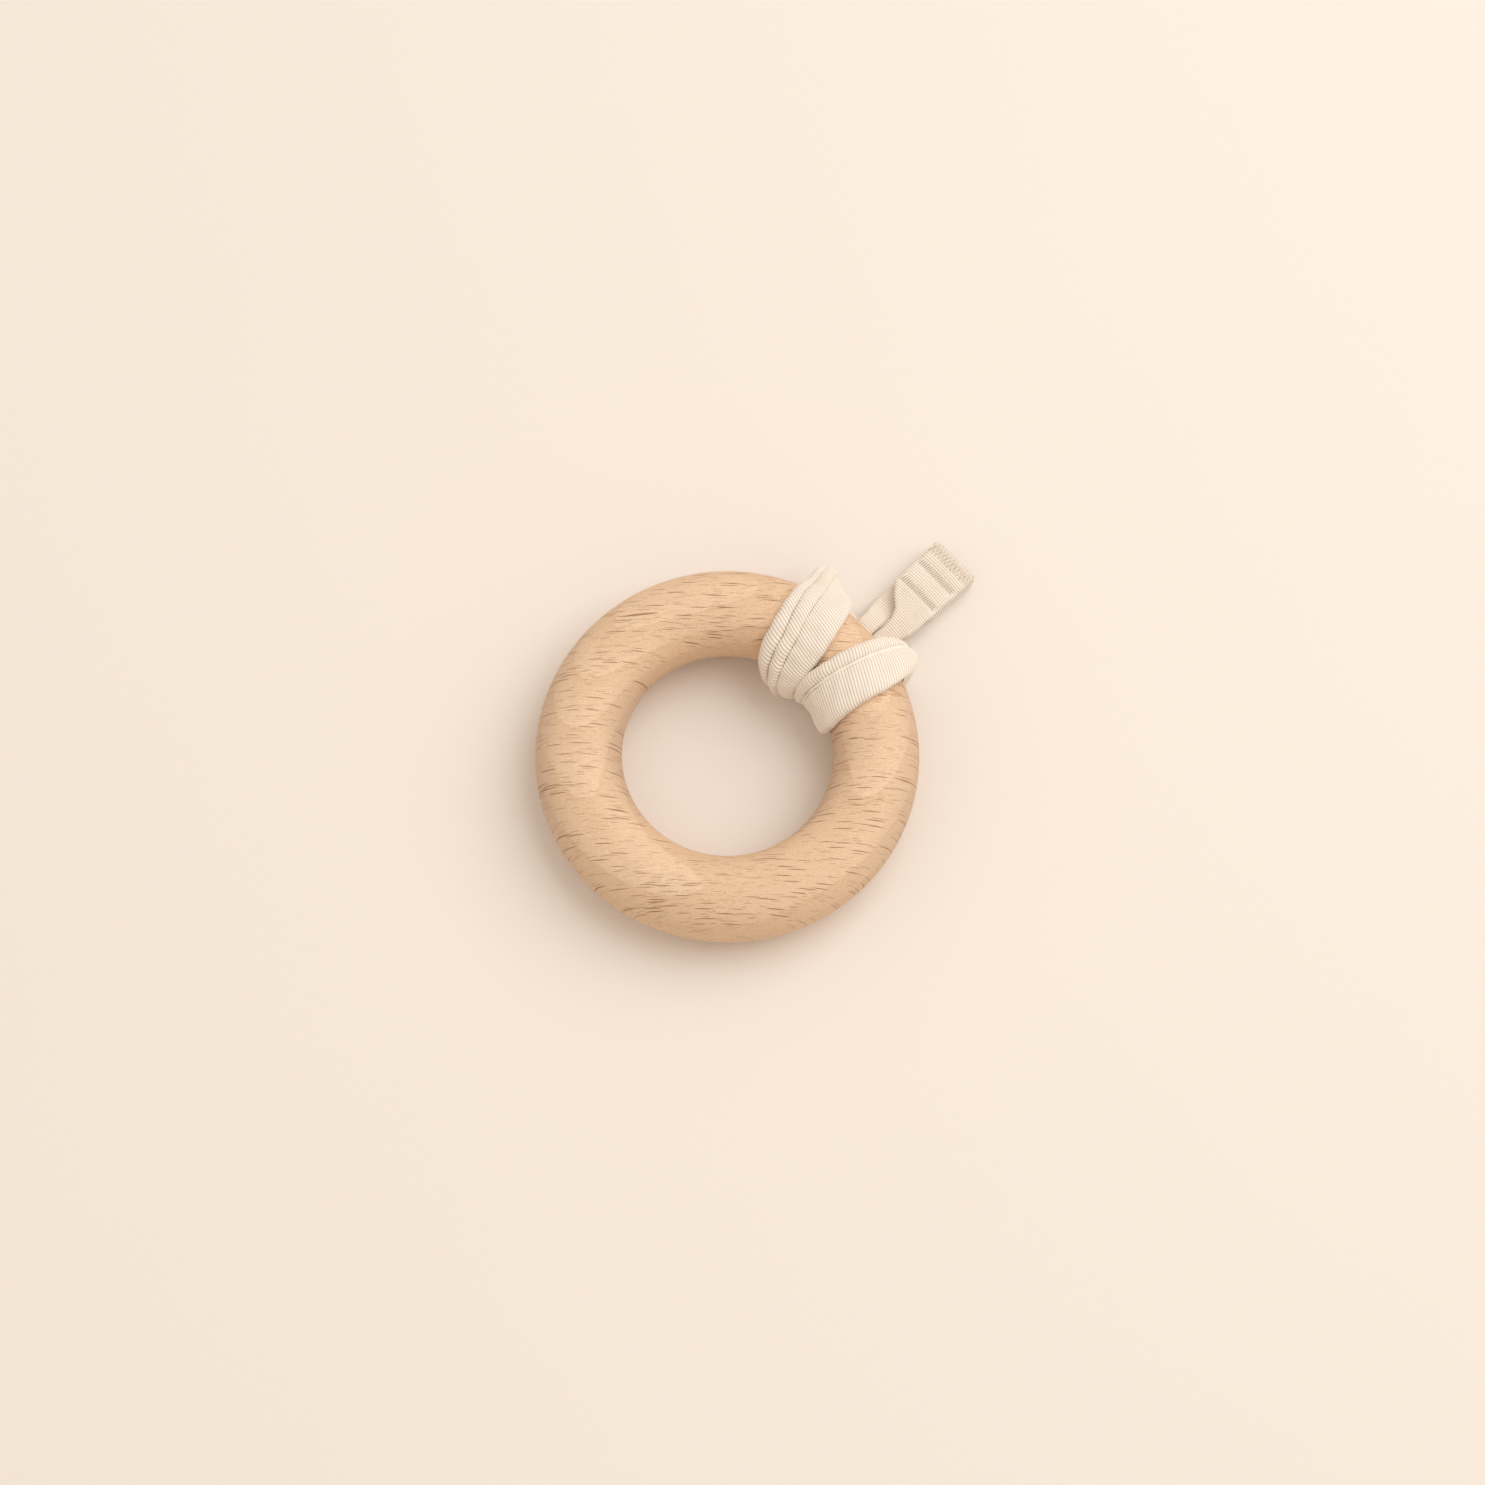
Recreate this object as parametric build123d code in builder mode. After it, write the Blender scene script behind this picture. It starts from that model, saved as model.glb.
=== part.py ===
"""Wooden teething ring with a jersey tie strap hitched round it.

Millimetres, +Z up. The origin is the centre of the ring, +Z is the ring's axis, and the strap
is tied at +Y, with its sewn end pointing away from the ring along +Y.
"""

import os
from math import cos, radians, sin, tan

from build123d import *

os.makedirs("parts", exist_ok=True)

# The turned ring.
ring_outside = 70.0
ring_hole = 38.4
ring_thickness = 15.0
bar_radius = (ring_outside + ring_hole) / 4
bar_half_width = (ring_outside - ring_hole) / 4
bar_half_height = ring_thickness / 2

# The strap: a folded jersey tape, pressed thin where the ring lies on it.
tape_width = 10.0
tape_thickness = 2.2
pressed_thickness = 1.2
strap_gap = 0.15
strand_gap = 0.2
part_gap = 0.05
floor_level = -(bar_half_height + strap_gap + pressed_thickness)

# The two turns over the ring spread towards the outside in a V.
turn_spread = 17.0
turn_middle = 6.5
turn_outer_end = -50.0
turn_inner_end = 215.0

# The plan outlines of the strap's parts run from inside the hole to beyond the ring.
outline_near = 5.0
outline_far = 45.0

# The crossing bar of the hitch, which lies below the ring's outer edge.
crossing_inside = 33.5
crossing_outside = 37.7
crossing_height = 2.2
crossing_half_length = 13.6
crossing_top = floor_level + crossing_height

# The two runs under the ring, from the hole out over the crossing bar. They stop short of the
# line that the loose end swings about, to leave it room.
end_thickness = 1.6
run_half_width_inside = 6.2
run_half_width_outside = 3.8
run_enters_ring = turn_inner_end + 1.0
run_leaves_ring = 305.0
run_climb = 1.7
run_level = crossing_top + 2 * part_gap + end_thickness / 2
hinge_y = 38.35
swing_room = 0.9
run_end = hinge_y - swing_room

# The loose end: the strap's two ends come together, one on the other, and are sewn flat.
end_start = hinge_y + strand_gap
plies_meet = 43.5
plies_stacked = 46.0
end_stop = 58.0
lower_ply = floor_level + end_thickness / 2
upper_ply = lower_ply + end_thickness + part_gap
end_top = upper_ply + end_thickness / 2

# The threads.
thread_width = 0.4
thread_height = 0.2
tack_length = 1.4
tack_pitch = 0.55
tack_across = 8.8
tack_rows = (48.6, 53.2)
overlock_pitch = 0.8
overlock_reach = 2.2

reach = 80.0


def bar_point(angle, offset):
    """A point on the ring's cross-section, offset outwards, as (distance from the axis, height)."""
    across = bar_radius + (bar_half_width + offset) * cos(radians(angle))
    up = (bar_half_height + offset) * sin(radians(angle))
    return across, up


def turn_plan(side):
    """The plan outline of one turn's band, on the left (-1) or on the right (+1) of the hitch."""
    slope = tan(radians(turn_spread))
    half_band = tape_width / 2 / cos(radians(turn_spread))
    near_middle = turn_middle + (outline_near - bar_radius) * slope
    far_middle = turn_middle + (outline_far - bar_radius) * slope
    corners = [
        (near_middle - half_band, outline_near),
        (far_middle - half_band, outline_far),
        (far_middle + half_band, outline_far),
        (near_middle + half_band, outline_near),
    ]
    return [(side * across, along) for across, along in corners]


def make_turn(side, label):
    """One band over the ring: a curved shell on the ring's surface, cut to the band's outline."""
    beyond_turn = 4 * tape_thickness
    wedge = [(bar_radius, 0)]
    for angle in (turn_inner_end, 270.0, 360.0 + turn_outer_end):
        wedge.append(bar_point(angle, beyond_turn))
    with BuildPart() as turn:
        with BuildSketch(Plane.YZ):
            with Locations((bar_radius, 0)):
                Ellipse(
                    bar_half_width + strap_gap + tape_thickness,
                    bar_half_height + strap_gap + tape_thickness,
                )
                Ellipse(
                    bar_half_width + strap_gap,
                    bar_half_height + strap_gap,
                    mode=Mode.SUBTRACT,
                )
            with BuildLine():
                Polyline(*wedge, close=True)
            make_face(mode=Mode.SUBTRACT)
        revolve(axis=Axis.Z)
        with BuildSketch(Plane.XY.offset(-reach / 2)):
            with BuildLine():
                Polyline(*turn_plan(side), close=True)
            make_face()
        extrude(amount=reach, mode=Mode.INTERSECT)
        # The turns meet at the middle of the hitch.
        with Locations((-side * reach / 2, 0, 0)):
            Box(reach + strand_gap, reach, reach, mode=Mode.SUBTRACT)
        # The turn ends on top of the crossing bar, and beside the runs that pass over it.
        with Locations((0, reach / 2 + bar_radius, crossing_top + part_gap)):
            Box(reach, reach, reach, align=(Align.CENTER, Align.CENTER, Align.MAX), mode=Mode.SUBTRACT)
        with Locations((0, reach / 2 + bar_radius, run_level + 2 * end_thickness)):
            Box(
                2 * (run_half_width_outside + strand_gap),
                reach,
                reach,
                align=(Align.CENTER, Align.CENTER, Align.MAX),
                mode=Mode.SUBTRACT,
            )
    turn.part.label = label
    return turn


def make_run(side, label):
    """One strand under the ring: round the foot of the hole, flat under the bar and up over the
    crossing bar."""
    middle = strap_gap + pressed_thickness / 2
    leave = bar_point(run_leaves_ring, middle)
    with BuildPart() as run:
        with BuildSketch(Plane.YZ):
            with BuildLine():
                around = EllipticalCenterArc(
                    (bar_radius, 0),
                    bar_half_width + middle,
                    bar_half_height + middle,
                    start_angle=run_enters_ring,
                    arc_size=run_leaves_ring - run_enters_ring,
                )
                climb = Spline(
                    leave,
                    (crossing_inside + run_climb, run_level),
                    tangents=(around % 1, (1, 0)),
                )
                Line(climb @ 1, (run_end, run_level))
            trace(line_width=pressed_thickness)
        revolve(axis=Axis.Z)
        with BuildSketch(Plane.XY.offset(-reach / 2)):
            with BuildLine():
                Polyline(
                    (side * strand_gap / 2, outline_near),
                    (side * run_half_width_inside, outline_near),
                    (side * run_half_width_inside, bar_radius - bar_half_width),
                    (side * run_half_width_outside, bar_radius + bar_half_width / 2),
                    (side * run_half_width_outside, 2 * bar_radius),
                    (side * strand_gap / 2, 2 * bar_radius),
                    close=True,
                )
            make_face()
        extrude(amount=reach / 2, mode=Mode.INTERSECT)
    run.part.label = label
    return run


def make_end(side, ply_level, label):
    """One end of the strap, from the crossing bar to its place in the sewn stack."""
    with BuildPart() as end:
        with BuildSketch(Plane.YZ):
            with BuildLine():
                drop = Spline(
                    (end_start, run_level),
                    (plies_meet, ply_level),
                    tangents=((1, 0), (1, 0)),
                )
                Line(drop @ 1, (end_stop, ply_level))
            trace(line_width=end_thickness)
        extrude(amount=tape_width, both=True)
        with BuildSketch(Plane.XY.offset(-reach / 2)):
            with BuildLine():
                Polyline(
                    (side * strand_gap / 2, end_start),
                    (side * run_half_width_outside, end_start),
                    (side * tape_width / 2, plies_meet),
                    (side * tape_width / 2, end_stop),
                    (-side * tape_width / 2, end_stop),
                    (-side * tape_width / 2, plies_stacked),
                    (side * strand_gap / 2, plies_meet),
                    close=True,
                )
            make_face()
        extrude(amount=reach, mode=Mode.INTERSECT)
    end.part.label = label
    return end


# The ring is one turned piece of beech, with a rounded section all round.
with BuildPart() as wooden_ring:
    with BuildSketch(Plane.XZ):
        with Locations((bar_radius, 0)):
            Ellipse(bar_half_width, bar_half_height)
    revolve(axis=Axis.Z)
wooden_ring.part.label = "wooden_ring"

# The two turns, seen side by side on top of the ring.
left_turn = make_turn(-1, "strap_left_turn")
right_turn = make_turn(1, "strap_right_turn")

# The crossing bar is the bight of the strap. It joins the turns and holds the runs.
with BuildPart() as crossing_bar:
    with BuildSketch(Plane.YZ):
        with Locations(((crossing_inside + crossing_outside) / 2, floor_level + crossing_height / 2)):
            RectangleRounded(
                crossing_outside - crossing_inside,
                crossing_height,
                crossing_height / 2 - part_gap,
            )
    revolve(axis=Axis.Z)
    with Locations((0, reach / 2, 0)):
        Box(2 * crossing_half_length, reach, reach, mode=Mode.INTERSECT)
crossing_bar.part.label = "strap_crossing_bar"

# The two strands pass through the hole and under the ring, side by side.
left_run = make_run(-1, "strap_left_run")
right_run = make_run(1, "strap_right_run")

# The strap's two ends beyond the crossing bar, the left one below and the right one on top.
left_end = make_end(-1, lower_ply, "strap_left_end")
right_end = make_end(1, upper_ply, "strap_right_end")

# Two bar tacks, rows of close threads across the tape, lock the two ends together.
with BuildPart() as bar_tacks:
    with BuildSketch(Plane.XY.offset(end_top)):
        for row in tack_rows:
            with Locations((0, row)):
                with GridLocations(tack_pitch, 1, int(tack_across / tack_pitch), 1):
                    SlotOverall(tack_length, thread_width, rotation=90)
    extrude(amount=thread_height)
bar_tacks.part.label = "bar_tacks"

# Overlock threads bind the cut edge, so that the jersey doesn't run.
with BuildPart() as overlock:
    with BuildSketch(Plane.YZ):
        with BuildLine():
            Polyline(
                (end_stop - overlock_reach, end_top),
                (end_stop, end_top),
                (end_stop, floor_level),
                (end_stop + thread_height, floor_level),
                (end_stop + thread_height, end_top + thread_height),
                (end_stop - overlock_reach, end_top + thread_height),
                close=True,
            )
        make_face()
    extrude(amount=tape_width / 2, both=True)
    loops = int(tape_width / overlock_pitch)
    with Locations((0, end_stop, upper_ply)):
        with GridLocations(overlock_pitch, 1, loops + 1, 1):
            Box(overlock_pitch - thread_width, tape_width, tape_width, mode=Mode.SUBTRACT)
overlock.part.label = "end_overlock"

pieces = [
    wooden_ring,
    left_turn,
    right_turn,
    crossing_bar,
    left_run,
    right_run,
    left_end,
    right_end,
    bar_tacks,
    overlock,
]
for piece in pieces:
    export_step(piece.part, f"parts/{piece.part.label}.step")
    print(piece.part.label, len(piece.part.solids()), round(piece.part.volume, 2))
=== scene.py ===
"""Wooden teething ring with a jersey strap hitched round it: the looks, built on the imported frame.

The strap is one ribbed tape. Every stretch of it is cut from the same centreline, so that the
stretches meet without a step: the crossing bar, then up over the ring as a turn, down through the
hole and under the ring as a strand, and out over the crossing bar to the sewn end.
"""

import math

import bpy
import numpy as np
from bpy.props import FloatProperty, FloatVectorProperty, IntProperty, PointerProperty
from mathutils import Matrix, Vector


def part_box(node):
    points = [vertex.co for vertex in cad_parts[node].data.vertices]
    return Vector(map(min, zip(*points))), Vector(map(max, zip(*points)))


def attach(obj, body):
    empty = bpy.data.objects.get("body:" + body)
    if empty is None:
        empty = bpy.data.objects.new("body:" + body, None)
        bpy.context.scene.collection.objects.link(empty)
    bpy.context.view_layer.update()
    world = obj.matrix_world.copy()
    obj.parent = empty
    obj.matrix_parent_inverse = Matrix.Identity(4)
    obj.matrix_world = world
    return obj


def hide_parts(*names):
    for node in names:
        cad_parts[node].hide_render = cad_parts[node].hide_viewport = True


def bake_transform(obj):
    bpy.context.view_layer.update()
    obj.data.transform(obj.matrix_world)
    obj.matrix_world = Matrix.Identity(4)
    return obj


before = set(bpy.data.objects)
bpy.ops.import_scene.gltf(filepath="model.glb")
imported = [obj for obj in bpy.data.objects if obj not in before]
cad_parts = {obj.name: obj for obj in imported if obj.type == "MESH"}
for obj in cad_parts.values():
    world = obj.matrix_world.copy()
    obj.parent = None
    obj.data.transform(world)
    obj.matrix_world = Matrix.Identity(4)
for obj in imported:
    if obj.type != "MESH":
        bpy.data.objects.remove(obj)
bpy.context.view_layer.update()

bl_info = {
    "name": "Teething ring",
    "version": (1, 0, 0),
    "blender": (4, 5, 0),
    "location": "3D View > Sidebar > Teether",
    "description": "Builds a beech teething ring with a ribbed jersey strap hitched round it",
    "category": "Object",
}

MM = 0.001
RING_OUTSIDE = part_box("wooden_ring")[1].x
RING_HALF_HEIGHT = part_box("wooden_ring")[1].z
STRAP_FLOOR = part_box("strap_crossing_bar")[0].z
CROSSING_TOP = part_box("strap_crossing_bar")[1].z
END_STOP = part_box("strap_right_end")[1].y
END_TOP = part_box("strap_right_end")[1].z
END_HALF_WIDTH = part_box("strap_right_end")[1].x
# Where the two bar tacks lie, in millimetres from the ring's axis.
TACK_ROWS = (48.6, 53.2)


# ---------------------------------------------------------------------------------------------
# Settings


def length_setting(name, description, millimetres):
    return FloatProperty(
        name=name,
        description=description,
        default=millimetres * MM,
        subtype="DISTANCE",
        unit="LENGTH",
    )


def angle_setting(name, description, degrees):
    return FloatProperty(
        name=name,
        description=description,
        default=math.radians(degrees),
        subtype="ANGLE",
        unit="ROTATION",
    )


def colour_setting(name, description, value):
    return FloatVectorProperty(name=name, description=description, default=value, subtype="COLOR")


def count_setting(name, description, value):
    return IntProperty(name=name, description=description, default=value)


class RingSettings(bpy.types.PropertyGroup):
    hole: length_setting("Hole", "Width of the hole at its narrowest", 38.4)
    steps_round: count_setting("Steps round", "Faces round the ring", 420)
    steps_section: count_setting("Steps in section", "Faces round the bar", 120)
    fibre_angle: angle_setting("Fibre direction", "Angle of the wood's fibres from the X axis", 47.0)
    layer: length_setting("Growth layer", "Thickness of one year's growth", 3.4)
    light_wood: colour_setting("Early wood", "The pale side of a growth layer", (0.885, 0.645, 0.44))
    # The late wood's colour also paints shade on the ring's walls that face across the fibres.
    late_wood_and_shade: colour_setting("Late wood", "The dark side of a growth layer", (0.70, 0.455, 0.275))
    # End grain is darker than the long grain; its colour is also greyed a little as painted sheen.
    end_grain_and_sheen: colour_setting("End grain", "Where the fibres are cut across", (0.49, 0.35, 0.255))
    fleck_wood: colour_setting("Rays", "The rays' dark flecks", (0.27, 0.12, 0.05))


class StrapSettings(bpy.types.PropertyGroup):
    gap: length_setting("Gap", "Space left between the tape and the wood", 0.12)
    rib_pitch: length_setting("Rib pitch", "From one knitted rib to the next along the tape", 0.48)
    rib_height: length_setting("Rib height", "How far a rib stands above the groove beside it", 0.11)
    steps_per_rib: count_setting("Steps per rib", "Faces along the tape in one rib", 6)
    cloth: colour_setting("Cloth", "The jersey", (0.97, 0.90, 0.83))
    # The colour of the painted shade down between the ribs and in the tape's folds.
    shaded_groove: colour_setting("Grooves", "Down between the ribs", (0.50, 0.32, 0.175))


class ThreadSettings(bpy.types.PropertyGroup):
    thickness: length_setting("Thread", "Thickness of the sewing thread", 0.32)
    tack_pitch: length_setting("Tack pitch", "Distance between the threads of a bar tack", 0.42)
    overlock_pitch: length_setting("Overlock pitch", "Distance between the loops round the cut edge", 0.8)
    colour: colour_setting("Colour", "The thread", (0.93, 0.84, 0.74))


class StageSettings(bpy.types.PropertyGroup):
    azimuth: angle_setting("Azimuth", "Where the camera stands round the ring", 47.1)
    elevation: angle_setting("Elevation", "How high the camera looks down from", 73.3)
    distance: length_setting("Distance", "From the camera to the ring", 750.0)
    frame_width: length_setting("Frame", "Width of the picture where the ring lies", 270.5)
    aim_right: length_setting("Aim right", "How far right of the ring the camera looks", 2.75)
    aim_above: length_setting("Aim above", "How far above the ring the camera looks", 2.28)


# ---------------------------------------------------------------------------------------------
# Mesh helpers


def new_object(name, mesh):
    made = bpy.data.objects.new(name, mesh)
    bpy.context.scene.collection.objects.link(made)
    return made


def grid_mesh(name, points, close_rows, close_columns):
    """A mesh over a grid of points, rows by columns. A closed direction joins its last to its
    first. An open run of closed loops gets a fan of triangles over each end."""
    rows, columns = points.shape[:2]
    vertices = points.reshape(-1, 3)
    index = np.arange(rows * columns).reshape(rows, columns)
    if close_rows:
        index = np.vstack([index, index[:1]])
    if close_columns:
        index = np.hstack([index, index[:, :1]])
    corners = [index[:-1, :-1], index[:-1, 1:], index[1:, 1:], index[1:, :-1]]
    faces = np.stack([corner.ravel() for corner in corners], axis=1).tolist()
    if close_columns and not close_rows:
        first, last = len(vertices), len(vertices) + 1
        vertices = np.vstack([vertices, points[0].mean(0), points[-1].mean(0)])
        for column in range(columns):
            following = (column + 1) % columns
            faces.append((first, following, column))
            base = (rows - 1) * columns
            faces.append((last, base + column, base + following))
    mesh = bpy.data.meshes.new(name)
    mesh.from_pydata(vertices.tolist(), [], faces)
    mesh.update()
    return mesh


def smooth(mesh, sharp_angle):
    mesh.shade_smooth()
    mesh.set_sharp_from_angle(angle=math.radians(sharp_angle))


# ---------------------------------------------------------------------------------------------
# Shader helpers


class Value:
    """A number that varies over a surface. Expressions on it add Math nodes."""

    def __init__(self, shader, socket):
        self.shader = shader
        self.socket = socket

    def _with(self, operation, *inputs):
        return self.shader.node(
            "ShaderNodeMath", {"operation": operation}, dict(enumerate(inputs))
        )["Value"]

    def __add__(self, other):
        return self._with("ADD", self, other)

    __radd__ = __add__

    def __sub__(self, other):
        return self._with("SUBTRACT", self, other)

    def __rsub__(self, other):
        return self._with("SUBTRACT", other, self)

    def __mul__(self, other):
        return self._with("MULTIPLY", self, other)

    __rmul__ = __mul__

    def __truediv__(self, other):
        return self._with("DIVIDE", self, other)

    def __pow__(self, other):
        return self._with("POWER", self, other)

    def __gt__(self, other):
        return self._with("GREATER_THAN", self, other)

    def __abs__(self):
        return self._with("ABSOLUTE", self)

    def fraction(self):
        return self._with("FRACT", self)

    def ramp(self, low, high):
        """0 below low, 1 above high, and smooth in between. It falls if high is under low."""
        start, stop = (low, high) if low < high else (high, low)
        rising = self.shader.node(
            "ShaderNodeMapRange",
            {"interpolation_type": "SMOOTHSTEP"},
            {"Value": self, "From Min": start, "From Max": stop},
        )["Result"]
        return rising if low < high else 1 - rising


class Shader:
    """One material under construction, with its Principled shader."""

    def __init__(self, name):
        self.material = bpy.data.materials.new(name)
        self.material.use_nodes = True
        self.tree = self.material.node_tree
        self.tree.nodes.clear()
        self.surface = self.tree.nodes.new("ShaderNodeBsdfPrincipled")
        output = self.tree.nodes.new("ShaderNodeOutputMaterial")
        self.tree.links.new(self.surface.outputs["BSDF"], output.inputs["Surface"])

    def node(self, kind, settings=None, inputs=None):
        """Adds a node, makes its settings, then feeds its sockets. Returns its outputs by name."""
        made = self.tree.nodes.new(kind)
        for setting, value in (settings or {}).items():
            setattr(made, setting, value)
        for socket, value in (inputs or {}).items():
            self.feed(made.inputs[socket], value)
        return {
            output.name: Value(self, output) for output in reversed(made.outputs) if output.enabled
        }

    def feed(self, socket, value):
        if isinstance(value, Value):
            self.tree.links.new(value.socket, socket)
        elif socket.type == "RGBA" and len(value) == 3:
            socket.default_value = (*value, 1.0)
        else:
            socket.default_value = value

    def mix(self, factor, first, second):
        """Colour first where factor is 0, and second where it is 1."""
        made = self.tree.nodes.new("ShaderNodeMix")
        made.data_type = "RGBA"
        self.feed(made.inputs[0], factor)
        self.feed(made.inputs[6], first)
        self.feed(made.inputs[7], second)
        return Value(self, made.outputs[2])

    def noise(self, place, scale, detail=2.0, roughness=0.5):
        return self.node(
            "ShaderNodeTexNoise",
            None,
            {"Vector": place, "Scale": scale, "Detail": detail, "Roughness": roughness},
        )["Fac"]

    def stretched(self, place, sizes):
        """The place, measured in cells of these sizes along X, Y and Z."""
        scale = tuple(1 / size for size in sizes)
        return self.node(
            "ShaderNodeVectorMath", {"operation": "MULTIPLY"}, {0: place, 1: scale}
        )["Vector"]

    def bump(self, height, distance, strength=1.0, normal=None):
        inputs = {"Height": height, "Distance": distance, "Strength": strength}
        if normal is not None:
            inputs["Normal"] = normal
        return self.node("ShaderNodeBump", None, inputs)["Normal"]

    def finish(self, constants, **varying):
        for name, value in constants.items():
            self.feed(self.surface.inputs[name], value)
        for name, value in varying.items():
            self.feed(self.surface.inputs[name.replace("_", " ").title()], value)
        return self.material


# ---------------------------------------------------------------------------------------------
# Materials


def beech_material(ring):
    """Unvarnished beech, in three dimensions, so that the figure runs through the ring.

    X runs along the fibres, Y across them and Z up through the growth layers."""
    shader = Shader("bare_beech")
    place = shader.node("ShaderNodeTexCoord")["Object"]
    turned = shader.node(
        "ShaderNodeMapping",
        {"vector_type": "TEXTURE"},
        {"Vector": place, "Rotation": (0.0, 0.0, ring.fibre_angle)},
    )["Vector"]
    wander = shader.noise(shader.stretched(turned, (30 * MM, 6 * MM, 30 * MM)), 1.0) - 0.5
    axes = shader.node("ShaderNodeSeparateXYZ", None, {0: turned})
    along, across, up = axes["X"], axes["Y"] + wander * (0.8 * MM), axes["Z"]

    # Growth layers lie nearly flat, tilted and gently bowed, so that their edges show as tongues.
    bar_middle = 27 * MM
    u, v = along / bar_middle, across / bar_middle
    tilt = 2.07 * v - 0.71 * u
    bow = 0.80 * v * v - 0.215 * u * v + 0.14 * u * u * u - 0.22 * u * v * v
    wave = shader.noise(shader.stretched(turned, (14 * MM, 2.2 * MM, 9 * MM)), 1.0) - 0.5
    year = (up / ring.layer + tilt + bow + wave * 0.22 + 3.97).fraction()
    late = year ** 1.4 * year.ramp(1.0, 0.965)

    # Rays are thin lenses along the fibres that run on down through the layers.
    def rays(length, width, height, share, stagger, shift=0.0):
        beside = across / width
        place = {0: along / length + beside * stagger + shift, 1: beside, 2: up / height + shift}
        cells = shader.node(
            "ShaderNodeTexVoronoi",
            {"feature": "F1"},
            {
                "Vector": shader.node("ShaderNodeCombineXYZ", None, place)["Vector"],
                "Scale": 1.0,
                "Randomness": 1.0,
            },
        )
        chance = shader.node("ShaderNodeSeparateColor", None, {0: cells["Color"]})
        return cells["Distance"].ramp(0.44, 0.24) * chance["Red"].ramp(1 - share, 1 - share * 0.4)

    def facing(direction):
        return abs(
            shader.node(
                "ShaderNodeVectorMath",
                {"operation": "DOT_PRODUCT"},
                {0: shader.node("ShaderNodeTexCoord")["Normal"], 1: direction},
            )["Value"]
        )

    cosine, sine = math.cos(ring.fibre_angle), math.sin(ring.fibre_angle)
    end_grain = facing((cosine, sine, 0.0)).ramp(0.35, 1.0)
    # Seen from its flat side a ray is a broad patch, and hardly darker than the wood.
    side_on = facing((-sine, cosine, 0.0))
    edge_on = 0.16 + 0.84 * side_on.ramp(0.97, 0.7)
    long_rays = rays(4.4 * MM, 0.29 * MM, 20 * MM, 0.34, 0.618) * edge_on
    short_rays = rays(2.4 * MM, 0.21 * MM, 16 * MM, 0.36, -0.45, 0.37) * edge_on
    pores = rays(0.9 * MM, 0.11 * MM, 0.11 * MM, 0.5, 0.3)
    # One darker streak on top of the ring: a long lens, very slightly askew to the fibres.
    past_middle = along + 15.9 * MM
    beside_middle = across - 24.55 * MM - past_middle * 0.07
    streak = abs(past_middle / (3.7 * MM)) ** 2 + abs(beside_middle / (0.24 * MM)) ** 2
    streak = streak.ramp(1.0, 0.45) * (up > 0.0)

    grain = shader.noise(shader.stretched(turned, (2.6 * MM, 0.16 * MM, 0.4 * MM)), 1.0, 3.0, 0.6)
    speck = shader.noise(place, 1 / (0.18 * MM), 2.0, 0.6)
    cloud = shader.noise(turned, 1 / (11 * MM), 2.0)
    colour = shader.mix(late * 0.54, ring.light_wood, ring.late_wood_and_shade)
    # The end grain is darker, and its greyer tint is painted sheen.
    colour = shader.mix(end_grain * 0.7, colour, ring.end_grain_and_sheen)
    # Painted shade: the ring's walls that face across the fibres are darkened towards the late wood's
    # colour.
    colour = shader.mix(side_on.ramp(0.3, 0.95) * 0.6, colour, ring.late_wood_and_shade)
    colour = shader.mix(grain.ramp(0.36, 0.70) * 0.5, colour, ring.late_wood_and_shade)
    colour = shader.mix(speck.ramp(0.42, 0.75) * 0.3, colour, ring.end_grain_and_sheen)
    colour = shader.mix(speck.ramp(0.55, 0.3) * 0.3, colour, (0.95, 0.76, 0.58))
    colour = shader.mix(cloud.ramp(0.45, 0.8) * 0.2, colour, (0.82, 0.58, 0.43))
    colour = shader.mix(pores * 0.3, colour, ring.fleck_wood)
    colour = shader.mix(short_rays * 0.5, colour, ring.fleck_wood)
    colour = shader.mix(long_rays * 0.85, colour, ring.fleck_wood)
    colour = shader.mix(streak * 0.75, colour, ring.fleck_wood)

    hollow = long_rays * 0.7 + short_rays * 0.4 + pores * 0.3 + grain * 0.3 + speck * 0.12
    normal = shader.bump(1 - hollow, 0.05 * MM, 0.6)
    rough = 0.48 + 0.16 * grain + 0.12 * end_grain
    return shader.finish(
        {"Specular IOR Level": 0.35, "Sheen Weight": 0.04, "Sheen Roughness": 0.4},
        base_color=colour,
        roughness=rough,
        normal=normal,
    )


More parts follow.
